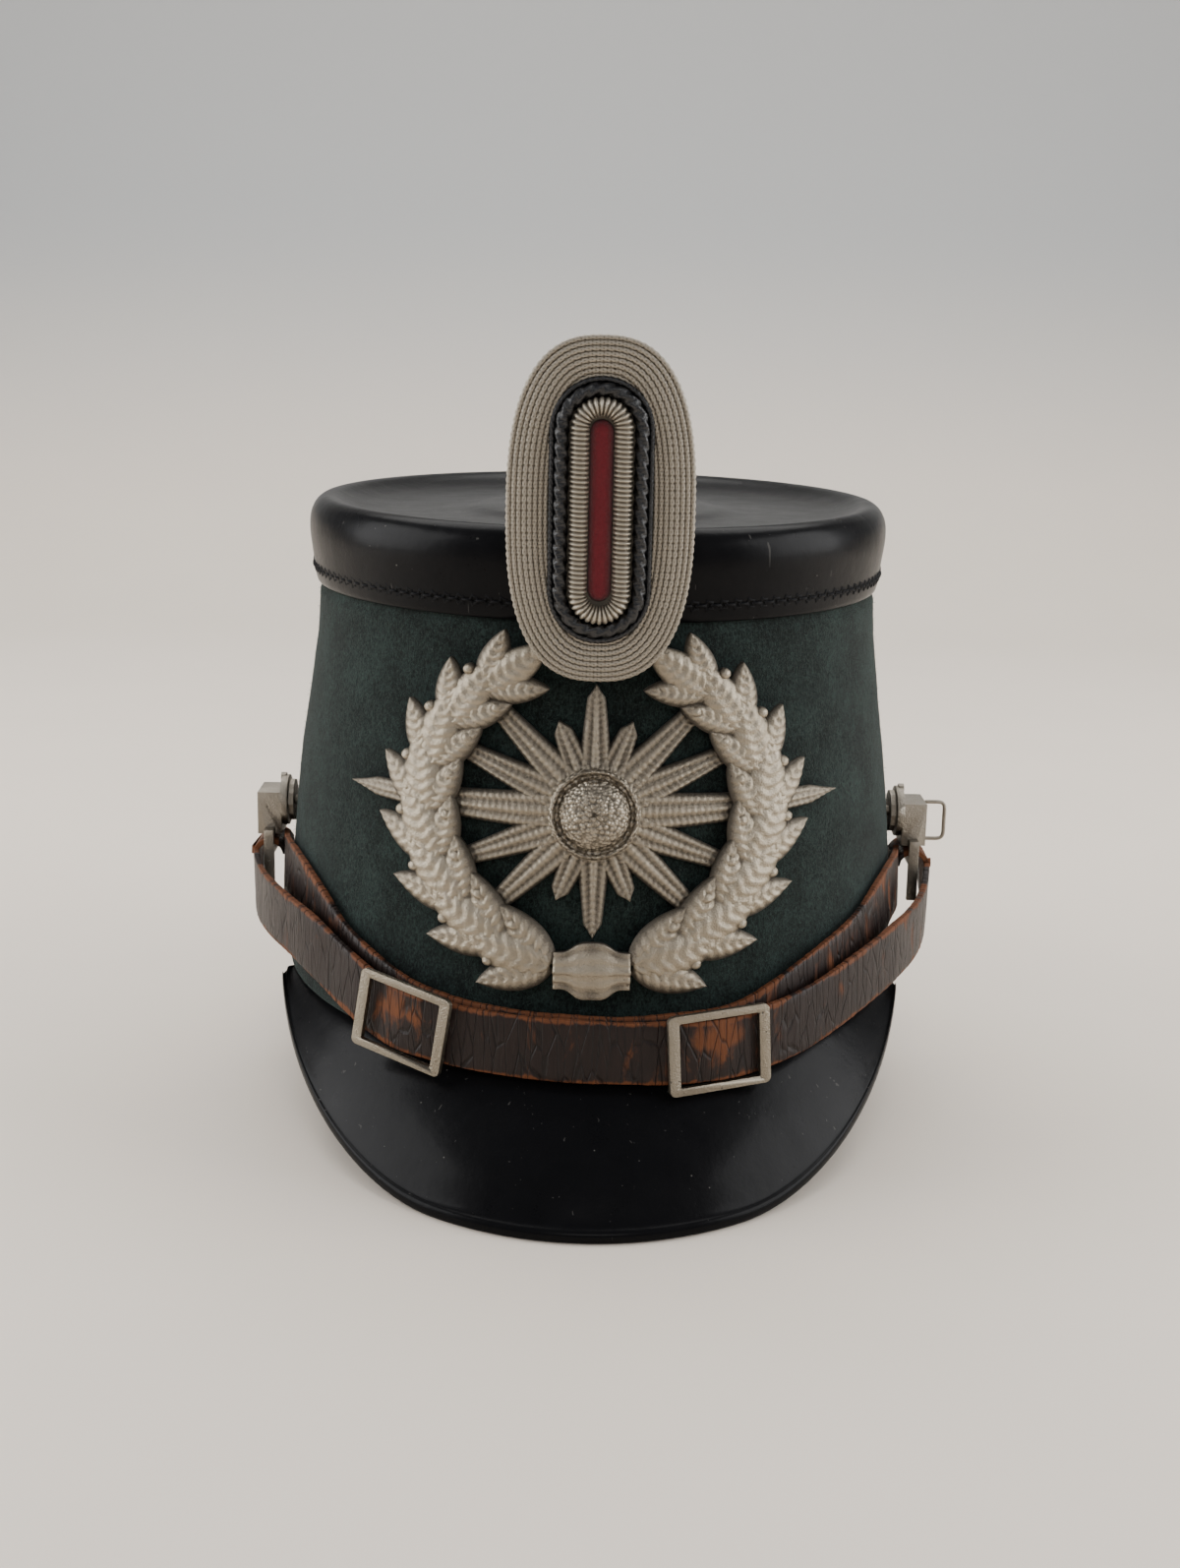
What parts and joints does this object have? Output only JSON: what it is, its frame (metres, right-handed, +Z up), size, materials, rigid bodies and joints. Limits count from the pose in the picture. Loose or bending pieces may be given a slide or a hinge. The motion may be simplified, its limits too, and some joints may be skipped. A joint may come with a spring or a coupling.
{
  "type": "shako hat",
  "caption": "Felt-covered shako with a hard crown, front and rear peaks, a wreath and star plate, an oval cockade and a buckled leather chin strap.",
  "frame": {"origin": "middle of the overall box's bottom face, on the surface the hat stands on", "axes": "+Z up through the crown, -Y out of the front where the plate is, +X to the right as seen by someone facing the front"},
  "size_m": [0.2042, 0.2656, 0.2124],
  "materials": {
    "fibre": "black lacquered vulcanised fibre, semi-gloss",
    "felt": "dark grey-green wool felt",
    "stamped_metal": "stamped, matt, slightly tarnished",
    "braid": "pale metallic twisted cord",
    "black_cord": "glossy twisted black cord",
    "silver_thread": "wound silver thread",
    "red_cloth": "matt dark red wool",
    "leather": "dark brown, cracked, worn at its edges",
    "buckle_metal": "flat, dull, pitted",
    "steel": "plated, dull, a little rusty"
  },
  "bodies": {
    "root": {"crown": "fibre", "body": "felt", "visor_front": "fibre", "visor_rear": "fibre", "plate_star": "stamped_metal", "plate_wreath": "stamped_metal", "plate_boss": "stamped_metal", "side_post_left": "steel", "side_post_right": "steel", "plate_post_left": "steel", "plate_post_right": "steel", "cockade_post": "steel", "cockade_base": "braid", "cockade_black_ring": "black_cord", "cockade_silver_ring": "silver_thread", "cockade_centre": "red_cloth", "strap_hook_right": "steel", "strap_hook_left": "steel", "wire_loop_right": "steel", "chin_strap": "leather", "buckle_left": "buckle_metal", "stud_left": "buckle_metal", "buckle_right": "buckle_metal", "stud_right": "buckle_metal"}
  },
  "joints": []
}
